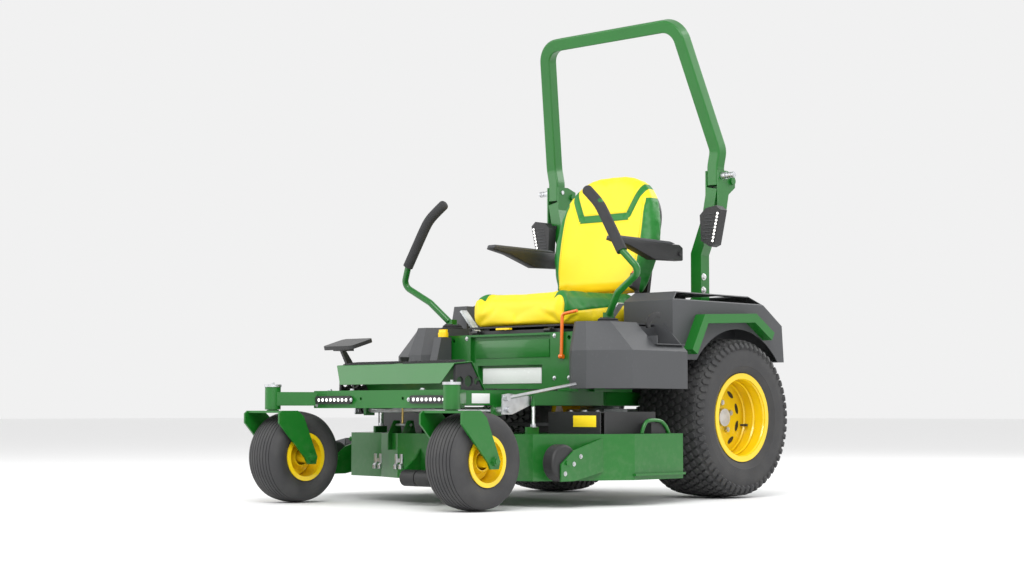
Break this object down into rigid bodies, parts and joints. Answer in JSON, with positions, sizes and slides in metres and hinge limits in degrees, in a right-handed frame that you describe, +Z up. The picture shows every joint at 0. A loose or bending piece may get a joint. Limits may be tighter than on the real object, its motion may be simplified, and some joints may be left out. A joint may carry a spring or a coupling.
{
  "type": "zero turn mower",
  "caption": "Riding zero turn mower with a mid-mounted three-blade deck, twin control levers, front casters, sprung seat and a folding roll-over hoop.",
  "frame": {"origin": "on the ground under the middle of the rear axle", "axes": "-Y is the front of the mower, +X is the operator's left, +Z is up"},
  "size_m": [1.509, 2.01, 1.8596],
  "materials": {
    "green_paint": "glossy enamel, light orange peel",
    "yellow_paint": "glossy enamel on the wheel rims",
    "black_paint": "satin black enamel",
    "tyre": "matt tread rubber",
    "dark_plastic": "fine-grained moulded plastic",
    "black_plastic": "matt black plastic",
    "black_rubber": "matt ribbed rubber",
    "zinc": "zinc-plated steel",
    "cast_aluminium": "as-cast aluminium",
    "seat_vinyl": "soft vinyl, sewn panels in yellow and green",
    "yellow_plastic": "glossy plastic knob",
    "orange_paint": "orange enamel",
    "guide_silver": "light silver anodised plate"
  },
  "bodies": {
    "chassis": {"main_frame": "green_paint", "front_crossbar": "green_paint", "rear_bumper": "green_paint", "lamp_housings": "black_plastic", "floor_pan": "green_paint", "floor_pads": "black_rubber", "seat_box": "green_paint", "side_cover_left": "dark_plastic", "side_cover_right": "dark_plastic", "fender_lips": "green_paint", "control_console": "black_plastic", "engine": "cast_aluminium", "fuel_tank": "black_plastic", "battery": "black_plastic", "transaxles": "cast_aluminium", "rops_bases": "green_paint", "caster_bearings": "zinc", "lever_guides": "guide_silver"},
    "rops_hoop": {"rops_hoop": "green_paint"},
    "seat_base": {"seat_platform": "black_paint"},
    "seat": {"seat_shell": "black_plastic", "seat_cushion": "seat_vinyl", "seat_backrest": "seat_vinyl"},
    "seat_latch": {"seat_adjuster": "yellow_plastic"},
    "brake_lever": {"brake_lever": "orange_paint"},
    "floor_knob": {"floor_knob": "black_plastic"},
    "height_dial": {"height_dial": "yellow_plastic"},
    "deck": {"mower_deck": "green_paint", "belt_covers": "black_plastic", "deck_belt": "black_rubber"},
    "blade_centre": {"blade_spindle_centre": "zinc"},
    "chute": {"discharge_chute": "dark_plastic"},
    "front_roller": {"front_roller": "black_plastic"},
    "lift_shaft": {"lift_cranks": "zinc", "lift_pedal": "black_paint"},
    "lift_rods": {"lift_rods": "zinc"},
    "caster_left": {"caster_fork_left": "green_paint"},
    "front_wheel_left": {"front_tyre_left": "tyre", "front_rim_left": "yellow_paint"},
    "rear_wheel_left": {"rear_tyre_left": "tyre", "rear_rim_left": "yellow_paint", "rear_hub_left": "zinc"},
    "rops_pin_left": {"rops_lock_pin_left": "zinc"},
    "lever_yoke_left": {"lever_pivot_left": "black_paint"},
    "lever_left": {"control_lever_left": "green_paint"},
    "armrest_left": {"armrest_left": "black_plastic"},
    "blade_left": {"blade_spindle_left": "zinc"},
    "gauge_wheel_left": {"gauge_wheel_left": "black_plastic"},
    "caster_right": {"caster_fork_right": "green_paint"},
    "front_wheel_right": {"front_tyre_right": "tyre", "front_rim_right": "yellow_paint"},
    "rear_wheel_right": {"rear_tyre_right": "tyre", "rear_rim_right": "yellow_paint", "rear_hub_right": "zinc"},
    "rops_pin_right": {"rops_lock_pin_right": "zinc"},
    "lever_yoke_right": {"lever_pivot_right": "black_paint"},
    "lever_right": {"control_lever_right": "green_paint"},
    "armrest_right": {"armrest_right": "black_plastic"},
    "blade_right": {"blade_spindle_right": "zinc"},
    "gauge_wheel_right": {"gauge_wheel_right": "black_plastic"}
  },
  "joints": [
    {"name": "caster_swivel_left", "type": "hinge", "parent": "chassis", "child": "caster_left", "pos_m": [0.456, -1.468, 0.333], "axis": [0, 0, 1], "continuous": true},
    {"name": "front_wheel_spin_left", "type": "hinge", "parent": "caster_left", "child": "front_wheel_left", "pos_m": [0.456, -1.368, 0.165], "axis": [1, 0, 0], "continuous": true},
    {"name": "rear_wheel_spin_left", "type": "hinge", "parent": "chassis", "child": "rear_wheel_left", "pos_m": [0.412, 0, 0.305], "axis": [1, 0, 0], "continuous": true},
    {"name": "lock_pin_pull_left", "type": "slide", "parent": "chassis", "child": "rops_pin_left", "axis": [1, 0, 0], "range_m": [0, 0.03], "stiffness_N_per_m": 600},
    {"name": "lever_drive_left", "type": "hinge", "parent": "chassis", "child": "lever_yoke_left", "pos_m": [0.356, -0.611, 0.622], "axis": [1, 0, 0], "range_deg": [-14, 20]},
    {"name": "lever_swing_left", "type": "hinge", "parent": "lever_yoke_left", "child": "lever_left", "pos_m": [0.396, -0.611, 0.657], "axis": [0, 1, 0], "range_deg": [0, 20]},
    {"name": "armrest_flip_left", "type": "hinge", "parent": "seat", "child": "armrest_left", "pos_m": [0.3, -0.098, 0.935], "axis": [-1, 0, 0], "range_deg": [0, 95]},
    {"name": "gauge_wheel_spin_left", "type": "hinge", "parent": "deck", "child": "gauge_wheel_left", "pos_m": [0.5525, -1.046, 0.154], "axis": [1, 0, 0], "continuous": true},
    {"name": "caster_swivel_right", "type": "hinge", "parent": "chassis", "child": "caster_right", "pos_m": [-0.456, -1.468, 0.333], "axis": [0, 0, 1], "continuous": true},
    {"name": "front_wheel_spin_right", "type": "hinge", "parent": "caster_right", "child": "front_wheel_right", "pos_m": [-0.456, -1.368, 0.165], "axis": [1, 0, 0], "continuous": true},
    {"name": "rear_wheel_spin_right", "type": "hinge", "parent": "chassis", "child": "rear_wheel_right", "pos_m": [-0.412, 0, 0.305], "axis": [1, 0, 0], "continuous": true},
    {"name": "lock_pin_pull_right", "type": "slide", "parent": "chassis", "child": "rops_pin_right", "axis": [-1, 0, 0], "range_m": [0, 0.03], "stiffness_N_per_m": 600},
    {"name": "lever_drive_right", "type": "hinge", "parent": "chassis", "child": "lever_yoke_right", "pos_m": [-0.356, -0.611, 0.622], "axis": [1, 0, 0], "range_deg": [-14, 20]},
    {"name": "lever_swing_right", "type": "hinge", "parent": "lever_yoke_right", "child": "lever_right", "pos_m": [-0.396, -0.611, 0.657], "axis": [0, -1, 0], "range_deg": [0, 20]},
    {"name": "armrest_flip_right", "type": "hinge", "parent": "seat", "child": "armrest_right", "pos_m": [-0.3, -0.098, 0.935], "axis": [-1, 0, 0], "range_deg": [0, 95]},
    {"name": "gauge_wheel_spin_right", "type": "hinge", "parent": "deck", "child": "gauge_wheel_right", "pos_m": [-0.6075, -1.046, 0.154], "axis": [1, 0, 0], "continuous": true},
    {"name": "rops_fold", "type": "hinge", "parent": "chassis", "child": "rops_hoop", "pos_m": [0, 0.084, 1.224], "axis": [-1, 0, 0], "range_deg": [0, 110]},
    {"name": "seat_tip", "type": "hinge", "parent": "chassis", "child": "seat_base", "pos_m": [0, -0.7, 0.627], "axis": [1, 0, 0], "range_deg": [0, 60]},
    {"name": "seat_slide", "type": "slide", "parent": "seat_base", "child": "seat", "axis": [0, -1, 0], "range_m": [0, 0.06]},
    {"name": "seat_latch_swing", "type": "hinge", "parent": "seat_base", "child": "seat_latch", "pos_m": [-0.04, -0.688, 0.636], "axis": [0, 0, 1], "range_deg": [0, 15], "stiffness_Nm_per_rad": 0.5},
    {"name": "brake_pull", "type": "hinge", "parent": "chassis", "child": "brake_lever", "pos_m": [0.266, -0.7153, 0.528], "axis": [1, 0, 0], "range_deg": [0, 30]},
    {"name": "floor_knob_push", "type": "slide", "parent": "chassis", "child": "floor_knob", "axis": [0, 0, -1], "range_m": [0, 0.012], "stiffness_N_per_m": 800, "springref_m": -0.01},
    {"name": "height_dial_turn", "type": "hinge", "parent": "chassis", "child": "height_dial", "pos_m": [-0.318, -0.742, 0.62], "axis": [0, 0, 1], "range_deg": [0, 270]},
    {"name": "deck_lift", "type": "slide", "parent": "chassis", "child": "deck", "axis": [0, 0, 1], "range_m": [-0.06, 0.02]},
    {"name": "lift_shaft_turn", "type": "hinge", "parent": "chassis", "child": "lift_shaft", "pos_m": [0, -1.119, 0.334], "axis": [1, 0, 0], "range_deg": [-30, 10]},
    {"name": "lift_rods_run", "type": "slide", "parent": "chassis", "child": "lift_rods", "axis": [0, -1, 0], "range_m": [-0.022, 0.008]},
    {"name": "blade_spin_centre", "type": "hinge", "parent": "deck", "child": "blade_centre", "pos_m": [0, -0.932, 0.104], "axis": [0, 0, 1], "continuous": true},
    {"name": "blade_spin_left", "type": "hinge", "parent": "deck", "child": "blade_left", "pos_m": [0.3935, -0.735, 0.104], "axis": [0, 0, 1], "continuous": true},
    {"name": "blade_spin_right", "type": "hinge", "parent": "deck", "child": "blade_right", "pos_m": [-0.3935, -0.735, 0.104], "axis": [0, 0, 1], "continuous": true},
    {"name": "chute_flip", "type": "hinge", "parent": "deck", "child": "chute", "pos_m": [-0.652, -0.767, 0.222], "axis": [0, 1, 0], "range_deg": [0, 90]},
    {"name": "roller_spin", "type": "hinge", "parent": "deck", "child": "front_roller", "pos_m": [0.079, -1.25, 0.096], "axis": [1, 0, 0], "continuous": true}
  ],
  "couplings": [
    {"joint": "lift_shaft_turn", "follows": "deck_lift", "rad_per_m": 8.26},
    {"joint": "lift_rods_run", "follows": "deck_lift", "ratio": 0.339},
    {"joint": "blade_spin_left", "follows": "blade_spin_centre", "ratio": 1},
    {"joint": "blade_spin_right", "follows": "blade_spin_centre", "ratio": 1}
  ]
}
